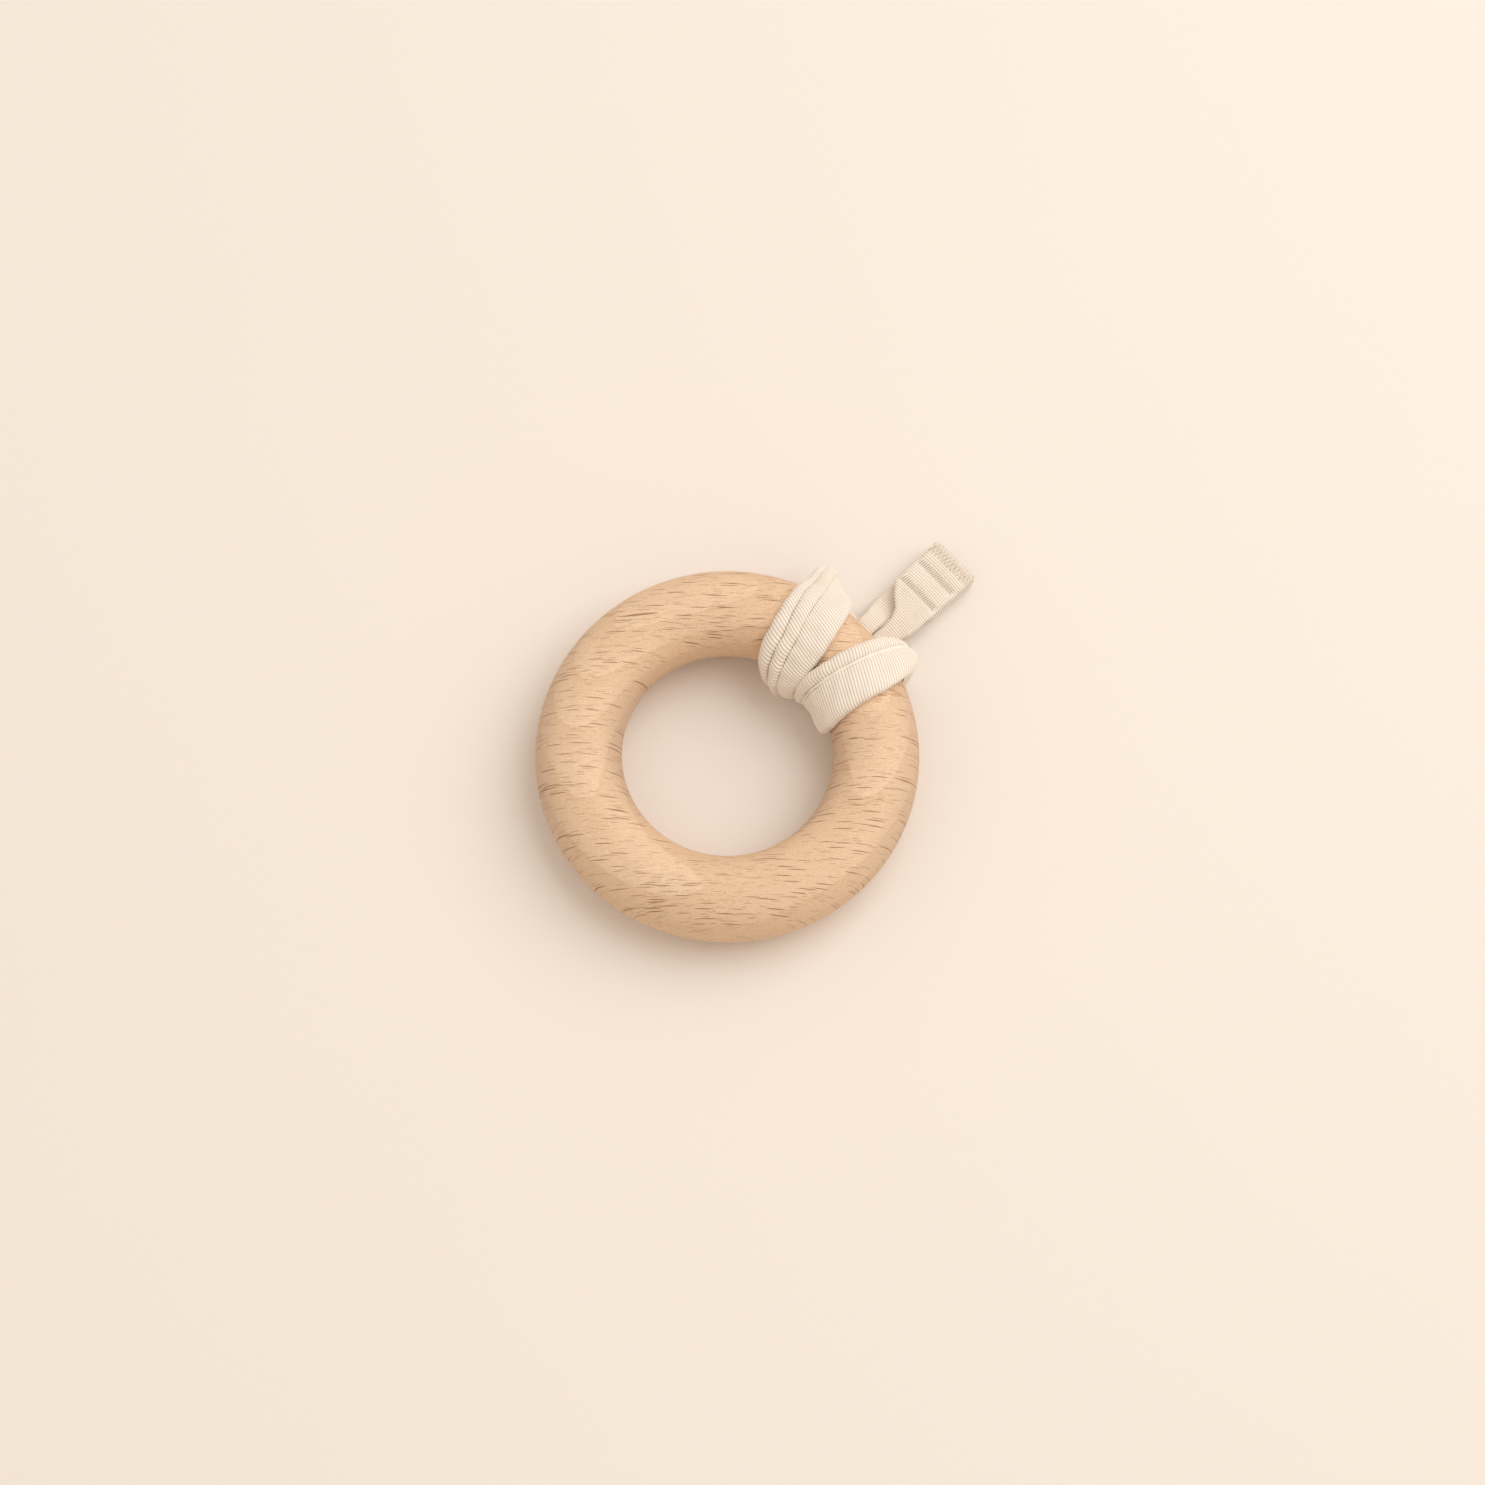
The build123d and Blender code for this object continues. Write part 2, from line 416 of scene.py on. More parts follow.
def jersey_material(strap):
    """Ribbed cotton jersey. The tape's own map counts ribs along it and stitches across it."""
    shader = Shader("ribbed_jersey")
    rib_map = shader.node("ShaderNodeUVMap", {"uv_map": "knit"})["UV"]
    axes = shader.node("ShaderNodeSeparateXYZ", None, {0: rib_map})
    place = shader.node("ShaderNodeTexCoord")["Object"]
    rib = axes["X"].fraction()
    from_crest = abs(rib - 0.5) * 2
    ribbed = shader.node("ShaderNodeAttribute", {"attribute_name": "ribbed"})["Fac"]
    shaded_groove = from_crest.ramp(0.5, 0.95) * ribbed

    # Each rib is a column of small loops that point along it, like nested letters V, and the painted
    # shade in the groove beside it is darkest between one loop and the next.
    loops = (axes["Y"] * 1.1 + from_crest * 0.55).fraction()
    loop_gap = loops.ramp(0.68, 0.95) * loops.ramp(1.0, 0.97)
    between = loops.ramp(0.3, 0.75) * loops.ramp(1.0, 0.8)
    fold = shader.node("ShaderNodeAttribute", {"attribute_name": "fold"})["Fac"]
    fuzz = shader.noise(place, 1 / (0.16 * MM), 3.0, 0.65)
    shade = shader.noise(place, 1 / (3.5 * MM), 2.0)

    # Painted shade down in the grooves between the ribs.
    colour = shader.mix(shaded_groove * (0.48 + 0.36 * between), strap.cloth, strap.shaded_groove)
    # Painted shade in the small gaps between one loop and the next.
    colour = shader.mix(loop_gap * 0.12, colour, strap.shaded_groove)
    # Painted shade deep in the valleys between the tape's lengthwise folds.
    colour = shader.mix(fold.ramp(0.5, 1.0) * 0.45, colour, strap.shaded_groove)
    colour = shader.mix(fuzz.ramp(0.4, 0.75) * 0.25, colour, (0.97, 0.91, 0.84))
    colour = shader.mix(shade.ramp(0.4, 0.75) * 0.08, colour, strap.shaded_groove)
    relief = (1 - shaded_groove) * 0.4 - loop_gap * 0.35 + fuzz * 0.55
    normal = shader.bump(relief, 0.06 * MM, 0.75)
    return shader.finish(
        {
            "Specular IOR Level": 0.18,
            "Sheen Weight": 0.25,
            "Sheen Roughness": 0.45,
            "Sheen Tint": (1.0, 0.95, 0.88),
        },
        base_color=colour,
        roughness=0.82 + 0.12 * fuzz,
        normal=normal,
    )


def thread_material(thread):
    """Twisted cotton thread: fine strands that slant across every stitch."""
    shader = Shader("cotton_thread")
    place = shader.node("ShaderNodeTexCoord")["Object"]
    axes = shader.node("ShaderNodeSeparateXYZ", None, {0: place})
    twist = ((axes["X"] + axes["Y"] * 0.8 + axes["Z"]) / (0.13 * MM)).fraction()
    strand = abs(twist - 0.5) * 2
    fuzz = shader.noise(place, 1 / (0.1 * MM), 2.0)
    # Painted shade in the lines between the twisted strands.
    colour = shader.mix(strand.ramp(0.6, 1.0) * 0.35, thread.colour, (0.62, 0.45, 0.31))
    colour = shader.mix(fuzz.ramp(0.5, 0.8) * 0.2, colour, (0.95, 0.9, 0.8))
    return shader.finish(
        {"Specular IOR Level": 0.3, "Sheen Weight": 0.15},
        base_color=colour,
        roughness=0.6 + 0.2 * strand,
        normal=shader.bump(1 - strand, 0.03 * MM, 0.7),
    )


def floor_material():
    shader = Shader("floor")
    place = shader.node("ShaderNodeTexCoord")["Object"]
    cloud = shader.noise(place, 9.0, 2.0)
    colour = shader.mix(cloud * 0.5, (0.89, 0.83, 0.78), (0.865, 0.805, 0.755))
    return shader.finish({"Specular IOR Level": 0.1}, base_color=colour, roughness=0.8 + 0.1 * cloud)


# ---------------------------------------------------------------------------------------------
# The strap's line

# The ribs are counted along this line from the middle of the crossing bar. Each row is the
# angle round the wooden bar's section, 0 outside and 90 on top, and there the distances from
# the middle of the hitch of the tape's inner edge, its two lengthwise folds and its outer edge.
LEFT_TURN = (
    (-22, 6.3, 8.6, 10.6, 12.2),
    (0, 5.6, 9.8, 11.7, 13.0),
    (20, 4.7, 9.8, 11.9, 13.4),
    (60, 2.6, 8.3, 10.9, 12.8),
    (90, 1.2, 7.0, 9.5, 11.7),
    (115, 0.5, 5.7, 8.2, 11.0),
    (135, 0.2, 5.1, 7.7, 10.7),
    (155, 0.1, 4.4, 7.2, 10.0),
    (177, 0.1, 3.6, 6.2, 8.8),
    (215, 0.15, 2.4, 4.5, 6.8),
    (270, 0.12, 1.8, 3.4, 5.2),
    (300, 0.10, 1.5, 2.9, 4.4),
)
RIGHT_TURN = (
    (-22, 6.2, 7.8, 8.4, 11.2),
    (0, 5.2, 7.0, 7.7, 11.0),
    (20, 4.4, 6.5, 7.2, 11.7),
    (45, 3.2, 6.0, 6.7, 12.5),
    (67, 2.3, 5.4, 6.1, 12.6),
    (90, 1.4, 4.5, 5.2, 12.1),
    (107, 0.8, 3.8, 4.5, 11.6),
    (125, 0.1, 3.1, 3.8, 11.2),
    (150, -0.6, 2.3, 2.9, 10.9),
    (177, -0.8, 2.0, 2.6, 10.2),
    (215, 0.15, 2.1, 2.6, 7.0),
    (270, 0.12, 1.8, 2.3, 5.2),
    (300, 0.10, 1.5, 2.0, 4.4),
)


# What a TapeLine keeps for each place along it. TapeLine._add says what each one means.
EDGES = ("inner", "first_fold", "second_fold", "outer")
COLUMNS = (
    *("x", "radius", "z", "normal", "turn"),
    *EDGES,
    *("height", "over", "slack", "deep", "free", "hang"),
)
# Sizes are in millimetres and angles round the wooden bar's section in degrees. The turn goes
# over into the strand at TURN_END, and the strand leaves the ring before STRAND_START. The line
# has LINE_POINTS points, and each is rounded off over ROUNDING of them.
BAR_RADIUS = 33.6
BAR_THICKNESS = 3.9
BAR_BEND = 4.2
BAR_SECTION = (-1.05, -0.35, 0.4, 1.05)
TURN_THICKNESS = 2.2
TURN_STEP = 4.0
TURN_END = 215
STRAND_START = 301
LINE_POINTS = 1600
ROUNDING = 25
BACK_POINTS = 15


class TapeLine:
    """The centreline of one half of the strap and its section, as tables over the length."""

    def __init__(self, side, edges, ply, ring, strap):
        self.side = side
        self.ring_radius = (RING_OUTSIDE + ring.hole / 2) / 2 / MM
        self.half_width = (RING_OUTSIDE - ring.hole / 2) / 2 / MM
        self.half_height = RING_HALF_HEIGHT / MM
        self.gap = strap.gap / MM
        self.rows = []
        self.marks = {}
        self._bar(edges)
        self._turn(edges)
        self._strand(ply)
        self._measure()

    def _add(
        self, x, radius, z, normal, turn, edges, height, over=0, slack=0, deep=0.3, free=1, hang=0
    ):
        """x, radius and z place the line, normal is the outward direction in the radial plane,
        turn is how far the tape's width has turned from level, and edges are across the tape.
        Over is 1 on top of the ring, slack and hang are how far the tape stands off the ring's
        outer side and hangs loose in the hole, deep is the depth of the folds as a share of the
        height, and free is 0 where wood touches the tape."""
        row = (x, radius, z, normal, turn, *edges, height, over, slack, deep, free, hang)
        self.rows.append(row)

    def _bar(self, edges):
        """From the middle of the crossing bar, level, and a quarter turn up to the ring."""
        start = edges[0]
        join = self._on_ring(start[0])
        middle = (start[1] + start[4]) / 2
        level = STRAP_FLOOR / MM + 1.15
        bend = min(join[1] - level, BAR_BEND)
        flat = [edge - middle for edge in start[1:]]
        for x in np.linspace(0, middle - bend, 12)[:-1]:
            self._add(x, BAR_RADIUS, level, 0.0, -90.0, BAR_SECTION, BAR_THICKNESS)
        for angle in np.linspace(0, 90, 16):
            share = angle / 90
            ease = share * share * (3 - 2 * share)
            x = middle - bend + bend * math.sin(math.radians(angle))
            z = level + bend * (1 - math.cos(math.radians(angle)))
            radius = BAR_RADIUS + (join[0] - BAR_RADIUS) * ease
            section = [a + (b - a) * ease for a, b in zip(BAR_SECTION, flat)]
            height = BAR_THICKNESS - (BAR_THICKNESS - TURN_THICKNESS) * ease
            slack = SLACK[self.side][0] * 0.8 * ease
            self._add(x, radius, z, start[0] * ease, angle - 90, section, height, slack=slack)
        self.marks["bar_end"] = len(self.rows) - 1

    def _on_ring(self, angle):
        radians = math.radians(angle)
        radius = self.ring_radius + (self.half_width + self.gap) * math.cos(radians)
        return radius, (self.half_height + self.gap) * math.sin(radians)

    def _turn(self, edges):
        """Over the ring, through the hole and under it."""
        table = np.array(edges, float)
        for angle in np.arange(table[0, 0] + TURN_STEP, STRAND_START, TURN_STEP):
            radius, z = self._on_ring(angle)
            spread = [np.interp(angle, table[:, 0], table[:, k]) for k in range(1, 5)]
            middle = (spread[0] + spread[3]) / 2
            thick = (TURN_THICKNESS, 2.4, 2.4, 2.0, 1.6, 1.2)
            height = np.interp(angle, (-22, 20, 150, 185, 215, 260), thick)
            over = max(0.0, math.sin(math.radians(angle)))
            slack = np.interp(angle, (-22, -8, 6, 22, 45), (0.8, 1.0, 0.95, 0.5, 0.0))
            slack *= SLACK[self.side][0]
            deep = np.interp(angle, (60, 100, 140, 180, 230), (0.24, 0.3, 0.45, 0.6, 0.3))
            hang = np.interp(angle, (118, 140, 170, 195, 225), (0, 0.35, 1, 1, 0))
            hang *= HANG[self.side][0]
            section = [edge - middle for edge in spread]
            self._add(middle, radius, z, angle, 0.0, section, height, over, slack, deep, 0, hang)
            if angle < TURN_END:
                self.marks["turn_end"] = len(self.rows)

    def _strand(self, ply):
        """Up over the crossing bar and out to the sewn end. Each row of ply is the distance from
        the ring's axis, the height of the tape's upper face, its inner and its outer edge, and
        its thickness."""
        for radius, z, inner, outer, height in ply:
            middle = (inner + outer) / 2
            half = (outer - inner) / 2
            section = (-half, -half / 3, half / 3, half)
            self._add(middle, radius, z, None, 0.0, section, height)

    def _measure(self):
        """Rounds the rows off, and lays them out over the length of the line."""
        plan = np.array([row[:3] for row in self.rows], float)
        rough = self._lengths(plan)
        fine = np.linspace(0, rough[-1], LINE_POINTS)
        values = np.array([[0.0 if v is None else v for v in row] for row in self.rows], float)
        table = np.stack([np.interp(fine, rough, column) for column in values.T], 1)
        kernel = np.hanning(ROUNDING + 2)[1:-1]
        kernel /= kernel.sum()
        margin = ROUNDING // 2
        padded = np.pad(table, ((margin, margin), (0, 0)), mode="edge")
        ends = np.arange(margin)
        for k in range(table.shape[1]):
            # A straight line goes on past each end, so that rounding off doesn't shorten it.
            slope = table[1, k] - table[0, k]
            padded[:margin, k] = table[0, k] - slope * (margin - ends)
            slope = table[-1, k] - table[-2, k]
            padded[-margin:, k] = table[-1, k] + slope * (ends + 1)
            table[:, k] = np.convolve(padded[:, k], kernel, mode="valid")
        self.length = self._lengths(table[:, :3])
        self.table = table
        self.rough_to_fine = np.interp(rough, fine, self.length)
        # Beyond the ring the outward direction follows from the line's own slope.
        rise, reach = (np.gradient(table[:, k], self.length) for k in (2, 1))
        outward = np.degrees(np.arctan2(-reach, rise))
        outward = np.where(outward < 0, outward + 360, outward)
        beyond = sum(row[3] is None for row in self.rows)
        last_turn = self.rough_to_fine[len(self.rows) - beyond - 1]
        share = np.clip((self.length - last_turn + 2.0) / 2.0, 0, 1)
        self.table[:, 3] = table[:, 3] * (1 - share) + outward * share

    @staticmethod
    def _lengths(places):
        """How far along the line each of its places is."""
        steps = np.linalg.norm(np.diff(places, axis=0), axis=1)
        return np.concatenate([[0.0], np.cumsum(steps)])

    def at(self, length, column):
        return np.interp(length, self.length, self.table[:, COLUMNS.index(column)])

    def mark(self, name):
        return self.rough_to_fine[self.marks[name]]

    def lean(self, length, across):
        """Where the rib that starts at this length has got to along the tape."""
        slope, bow = RIB_LEAN[self.side]
        return length + self.at(length, "over") * across * (slope - bow * across)

    def edge(self, length, column):
        """How far across the tape a leaning rib meets an edge or a fold."""
        across = self.at(length, column)
        for _ in range(3):
            spot = self.lean(length, across)
            across = self.at(spot, column) + self.at(spot, "x") - self.at(length, "x")
        return across

    def place(self, length, across, height, inner, outer):
        """Points on the tape: along it, across it between its edges, and out from its back."""
        spot = self.lean(length, across)
        radius = self.at(spot, "radius")
        turn = np.radians(self.at(length, "turn"))
        normal = np.radians(self.at(spot, "normal"))
        middle = np.arcsin(self.at(length, "x") / self.at(length, "radius"))
        angle = middle + across * np.cos(turn) / radius
        share = (across - inner) / (outer - inner)
        height = height + self.at(length, "slack") * np.interp(share, *SLACK[self.side][1:])
        height = height + self.at(length, "hang") * np.interp(share, *HANG[self.side][1:])
        out = radius + height * np.cos(normal)
        z = self.at(spot, "z") + across * np.sin(turn) + height * np.sin(normal)
        return np.stack([self.side * out * np.sin(angle), out * np.cos(angle), z], axis=-1)


def fold_profile(start, stop, valley, crest, flatness, steps):
    """One lengthwise fold of the tape, as points across it and above its inner face."""
    share = np.linspace(0, 1, steps)
    across = start + (stop - start) * (1 - np.cos(np.pi * share)) / 2
    arch = np.clip(np.sin(np.pi * share), 0, 1) ** flatness
    return across, valley + (crest - valley) * arch, 1 - arch


def tape_section(line, length, crests, valleys, flatness, steps):
    """The closed outline of the tape's section at one length: its points across and above the
    tape's back, how deep in a fold each one lies, and then how many of them are on the front,
    with the front's inner and outer edge."""
    edges = [line.edge(length, name) for name in EDGES]
    height = line.at(length, "height")
    flatten = np.clip((2.0 - height) / 0.7, 0, 1)
    deep = line.at(length, "deep")
    low = 0.16 * height
    across, above, fold = [], [], []
    for k in range(3):
        crest = height * (crests[k] * (1 - flatten) + flatten)
        shallow = deep * (0.5 * (valleys[0] + valleys[1]) if k == 1 else valleys[k // 2])
        valley = height * (1 - shallow * (1 - 0.6 * flatten))
        power = flatness[k] * (1 - flatten) + 0.5 * flatten
        parts = fold_profile(edges[k], edges[k + 1], valley, crest, power, steps[k])
        if k != 1:
            # The outer half of an outer fold comes right down to the tape's edge.
            share = np.linspace(0, 1, steps[k])
            rim = share < 0.5 if k == 0 else share > 0.5
            parts[1][rim] = low + (parts[1][rim] - valley) * (crest - low) / (crest - valley)
            parts[2][rim] *= 0.25
        for total, part in zip((across, above, fold), parts):
            total.append(part if k == 2 else part[:-1])
    across, above, fold = (np.concatenate(part) for part in (across, above, fold))
    inset = min(0.12 * (edges[3] - edges[0]), 0.5)
    back = np.linspace(edges[3] - inset, edges[0] + inset, BACK_POINTS)
    return (
        np.concatenate([across, back]),
        np.concatenate([above, np.zeros(len(back))]),
        np.concatenate([fold * min(1.0, deep * 1.7), np.full(len(back), 0.2)]),
        (len(across), edges[0], edges[3]),
    )


def tape_mesh(name, line, start, stop, strap):
    """A stretch of the ribbed tape from one length of the line to another."""
    pitch = strap.rib_pitch / MM
    step = pitch / strap.steps_per_rib
    stretches = max(8, int(round((stop - start) / step)))
    lengths = np.linspace(start, stop, stretches + 1)
    steps = STEPS[line.side]
    shape = (CRESTS[line.side], VALLEYS[line.side], FLATNESS[line.side], steps)
    rows, folds, maps = [], [], []
    ribbed = [np.full(fold - 1, share) for fold, share in zip(steps, RIBBED[line.side])]
    ribbed = np.concatenate([*ribbed, np.ones(BACK_POINTS + 1)])
    for length in lengths:
        across, above, fold, (top, inner, outer) = tape_section(line, length, *shape)
        span_across = np.gradient(across)
        span_above = np.gradient(above)
        norm = np.hypot(span_across, span_above) + 1e-9
        out_across, out_above = -span_above / norm, span_across / norm
        phase = length / pitch
        relief = strap.rib_height / MM * (abs(math.sin(math.pi * phase)) ** 0.6 - 0.7)
        sway = 0.05 * np.sin(0.9 * length + across) + 0.04 * np.sin(2.3 * length - 0.7 * across)
        upper = np.arange(len(across)) < top
        free = line.at(length, "free")
        fade = np.clip(above / 0.6, free, 1)
        relief = relief * ribbed
        across_now = across + np.where(upper, out_across * (relief + sway) * fade, 0.0)
        above_now = np.where(
            upper,
            np.maximum(above + out_above * (relief + sway) * fade, 0.0),
            -relief * free,
        )
        along = np.full(len(across), length)
        rows.append(line.place(along, across_now, above_now, inner, outer))
        folds.append(fold)
        girth = np.concatenate([[0.0], np.cumsum(np.hypot(np.diff(across), np.diff(above)))])
        maps.append(np.stack([np.full(len(across), phase), girth / pitch], axis=1))
    points = np.array(rows) * MM
    mesh = grid_mesh(name, points, close_rows=False, close_columns=True)
    if line.side > 0:
        mesh.flip_normals()
    # How deep in a fold each point lies places painted shade in the folds' valleys; ribbed says how
    # strongly each point is ribbed.
    for attribute, values in (("fold", folds), ("ribbed", [ribbed] * len(rows))):
        values = np.concatenate([np.array(values).ravel(), [0.5, 0.5]])
        layer = mesh.attributes.new(attribute, "FLOAT", "POINT")
        layer.data.foreach_set("value", values.astype(np.float32))
    knit = np.vstack([np.array(maps).reshape(-1, 2), [[0, 0], [0, 0]]])
    columns = points.shape[1]
    loop_vertex = np.zeros(len(mesh.loops), np.int32)
    mesh.loops.foreach_get("vertex_index", loop_vertex)
    coordinates = knit[loop_vertex]
    starts = np.zeros(len(mesh.polygons), np.int32)
    mesh.polygons.foreach_get("loop_start", starts)
    # The faces that close the loop would otherwise squeeze the whole map into one step.
    around = maps[0][-1][1] + 0.5
    for begin in starts:
        corner = slice(begin, begin + 4)
        if loop_vertex[corner].max() % columns == columns - 1 and coordinates[corner, 1].min() == 0:
            low = coordinates[corner, 1] == 0
            coordinates[corner, 1][low] = around
    layer = mesh.uv_layers.new(name="knit")
    layer.data.foreach_set("uv", coordinates.astype(np.float32).ravel())
    smooth(mesh, 70)
    return mesh


# Beyond the ring: distance from the axis, height of the upper face, inner edge, outer edge and
# thickness, out over the crossing bar and into the stack of the two sewn ends.
def strand_rows(upper):
    bar_top = CROSSING_TOP / MM
    half = END_HALF_WIDTH / MM
    stop = END_STOP / MM
    thick = 1.6
    top = END_TOP / MM if upper else STRAP_FLOOR / MM + thick
    high = bar_top + 1.45
    drop = high - top
    rows = [
        (32.6, high - 0.75, 0.1, 4.1, 1.25),
        (34.6, high - 0.05, 0.1, 3.9, 1.35),
        (37.2, high, 0.1, 3.9, 1.45),
        (39.3, high - drop * 0.25, 0.1, 4.2, 1.55),
        (41.4, high - drop * 0.75, 0.0, 4.7, thick),
        (43.2, top, -0.8, half, thick),
        (45.0, top, -3.0, half, thick),
        (47.0, top, -4.7, half, thick),
    ]
    for tack in TACK_ROWS:
        pressed = 0.3 if upper else 0.0
        for step, share in ((-1.3, 0.0), (-0.4, 1.0), (0.4, 1.0), (1.3, 0.0)):
            rows.append((tack + step, top - pressed * share, -half, half, thick - pressed * share))
    rows.append((stop, top, -half, half, thick))
    return rows


def half_strap(side, ring, strap):
    edges = LEFT_TURN if side < 0 else RIGHT_TURN
    return TapeLine(side, edges, strand_rows(upper=side > 0), ring, strap)


# How the ribs cross a turn: how far they lean towards the hole, and how that grows outwards.
RIB_LEAN = {-1: (-0.38, 0.02), 1: (0.19, 0.013)}
# How far a turn stands off the ring's outer side, in millimetres, and how that is shared out
# from its inner edge to its outer edge.
SLACK = {
    -1: (3.8, (0, 0.3, 0.45, 0.62, 0.8, 1), (0, 0.06, 0.3, 0.75, 0.95, 1)),
    1: (2.3, (0, 0.2, 0.4, 0.6, 0.8, 1), (0.2, 0.6, 0.92, 1, 0.7, 0.1)),
}
# The same for how far it hangs loose in the hole.
HANG = {
    -1: (2.3, (0, 0.25, 0.5, 0.8, 1), (0.6, 0.9, 1, 0.7, 0.3)),
    1: (0.4, (0, 0.3, 0.5, 1), (1, 0.8, 0.1, 0)),
}
# For each turn's folds from the inside out: how high their crests are and how deep the valleys
# between them, how flat-topped they are, and how many points each one has across it.
CRESTS = {-1: (0.92, 1.1, 0.98), 1: (1.12, 0.93, 0.98)}
VALLEYS = {-1: (1.0, 1.0), 1: (0.75, 0.6)}
FLATNESS = {-1: (0.42, 0.8, 0.75), 1: (0.8, 0.6, 0.36)}
STEPS = {-1: (26, 17, 15), 1: (20, 8, 28)}
# How strongly each fold is ribbed. The narrow one of the right turn is the cloth's smooth edge.
RIBBED = {-1: (1.0, 1.0, 1.0), 1: (1.0, 0.15, 1.0)}


def add_tape(name, side, start, stop, context):
    line = half_strap(side, context.scene.teething_ring, context.scene.teether_strap)
    lengths = [line.mark(mark) if isinstance(mark, str) else mark for mark in (start, stop)]
    lengths = [line.length[-1] if length is None else length for length in lengths]
    strap = context.scene.teether_strap
    mesh = tape_mesh(name, line, *lengths, strap)
    mesh.materials.append(bpy.data.materials.get("ribbed_jersey") or jersey_material(strap))
    made = new_object(name, mesh)
    return made


# ---------------------------------------------------------------------------------------------
# Threads


def stitch_tree():
    """Geometry nodes that sweep a thread along one stitch's path, and repeat it in rows."""
    tree = bpy.data.node_groups.new("stitch_rows", "GeometryNodeTree")
    for name, kind in (
        ("Path", "Geometry"),
        ("Thickness", "Float"),
        ("Pitch", "Float"),
        ("Stitches", "Int"),
        ("Rows", "Int"),
        ("Row spacing", "Float"),
        ("Place", "Vector"),
        ("Unevenness", "Float"),
        ("Seed", "Int"),
        ("Thread", "Material"),
    ):
        tree.interface.new_socket(name, in_out="INPUT", socket_type=f"NodeSocket{kind}")
    tree.interface.new_socket("Threads", in_out="OUTPUT", socket_type="NodeSocketGeometry")
    given = tree.nodes.new("NodeGroupInput").outputs

    def node(kind, inputs, **settings):
        made = tree.nodes.new(kind)
        for setting, value in settings.items():
            setattr(made, setting, value)
        for socket, value in inputs.items():
            if isinstance(value, bpy.types.NodeSocket):
                tree.links.new(value, made.inputs[socket])
            else:
                made.inputs[socket].default_value = value
        return next(output for output in made.outputs if output.enabled)

    def maths(operation, first, second):
        return node("ShaderNodeMath", {0: first, 1: second}, operation=operation)

    curve = node("GeometryNodeMeshToCurve", {"Mesh": given["Path"]})
    curve = node("GeometryNodeCurveSplineType", {"Curve": curve}, spline_type="CATMULL_ROM")
    curve = node("GeometryNodeSetSplineResolution", {"Geometry": curve, "Resolution": 2})
    radius = maths("DIVIDE", given["Thickness"], 2.0)
    ring = node("GeometryNodeCurvePrimitiveCircle", {"Resolution": 7, "Radius": radius})
    stitch = node(
        "GeometryNodeCurveToMesh", {"Curve": curve, "Profile Curve": ring, "Fill Caps": True}
    )
    run = maths("MULTIPLY", given["Pitch"], maths("SUBTRACT", given["Stitches"], 1.0))
    start = node("ShaderNodeCombineXYZ", {"X": maths("MULTIPLY", run, -0.5)})
    step = node("ShaderNodeCombineXYZ", {"X": given["Pitch"]})
    line = node(
        "GeometryNodeMeshLine",
        {"Count": given["Stitches"], "Start Location": start, "Offset": step},
    )
    least = maths("MULTIPLY", given["Unevenness"], -1.0)
    low = node("ShaderNodeCombineXYZ", {"X": least, "Y": least, "Z": least})
    high = node(
        "ShaderNodeCombineXYZ",
        {"X": given["Unevenness"], "Y": given["Unevenness"], "Z": given["Unevenness"]},
    )
    turn = node(
        "FunctionNodeRandomValue",
        {0: low, 1: high, "Seed": given["Seed"]},
        data_type="FLOAT_VECTOR",
    )
    row = node("GeometryNodeInstanceOnPoints", {"Points": line, "Instance": stitch, "Rotation": turn})
    apart = node("ShaderNodeCombineXYZ", {"Y": given["Row spacing"]})
    lines = node("GeometryNodeMeshLine", {"Count": given["Rows"], "Offset": apart})
    rows = node("GeometryNodeInstanceOnPoints", {"Points": lines, "Instance": row})
    solid = node("GeometryNodeRealizeInstances", {"Geometry": rows})
    moved = node("GeometryNodeTransform", {"Geometry": solid, "Translation": given["Place"]})
    finished = node("GeometryNodeSetShadeSmooth", {"Geometry": moved})
    finished = node("GeometryNodeSetMaterial", {"Geometry": finished, "Material": given["Thread"]})
    tree.links.new(finished, tree.nodes.new("NodeGroupOutput").inputs["Threads"])
    return tree


def sew_row(name, paths, thread, sizes):
    """Rows of one stitch. Paths are its threads' lines in millimetres, about its own middle."""
    points = [Vector(point) * MM for path in paths for point in path]
    edges, first = [], 0
    for path in paths:
        edges += [(k, k + 1) for k in range(first, first + len(path) - 1)]
        first += len(path)
    outline = bpy.data.meshes.new("stitch_path")
    outline.from_pydata(points, edges, [])
    source = new_object("stitch_path", outline)
    tree = bpy.data.node_groups.get("stitch_rows") or stitch_tree()
    material = bpy.data.materials.get("cotton_thread") or thread_material(thread)
    modifier = source.modifiers.new("stitch_rows", "NODES")
    modifier.node_group = tree
    values = {"Thickness": thread.thickness, "Unevenness": 0.05, "Thread": material, **sizes}
    for item in tree.interface.items_tree:
        if item.name in values:
            modifier[item.identifier] = values[item.name]
    evaluated = source.evaluated_get(bpy.context.evaluated_depsgraph_get())
    mesh = bpy.data.meshes.new_from_object(evaluated)
    mesh.name = name
    source.modifiers.remove(modifier)
    bpy.data.objects.remove(source)
    bpy.data.meshes.remove(outline)
    if not mesh.polygons:
        raise RuntimeError(f"{name} has no threads")
    made = new_object(name, mesh)
    return made


# ---------------------------------------------------------------------------------------------
# Operators


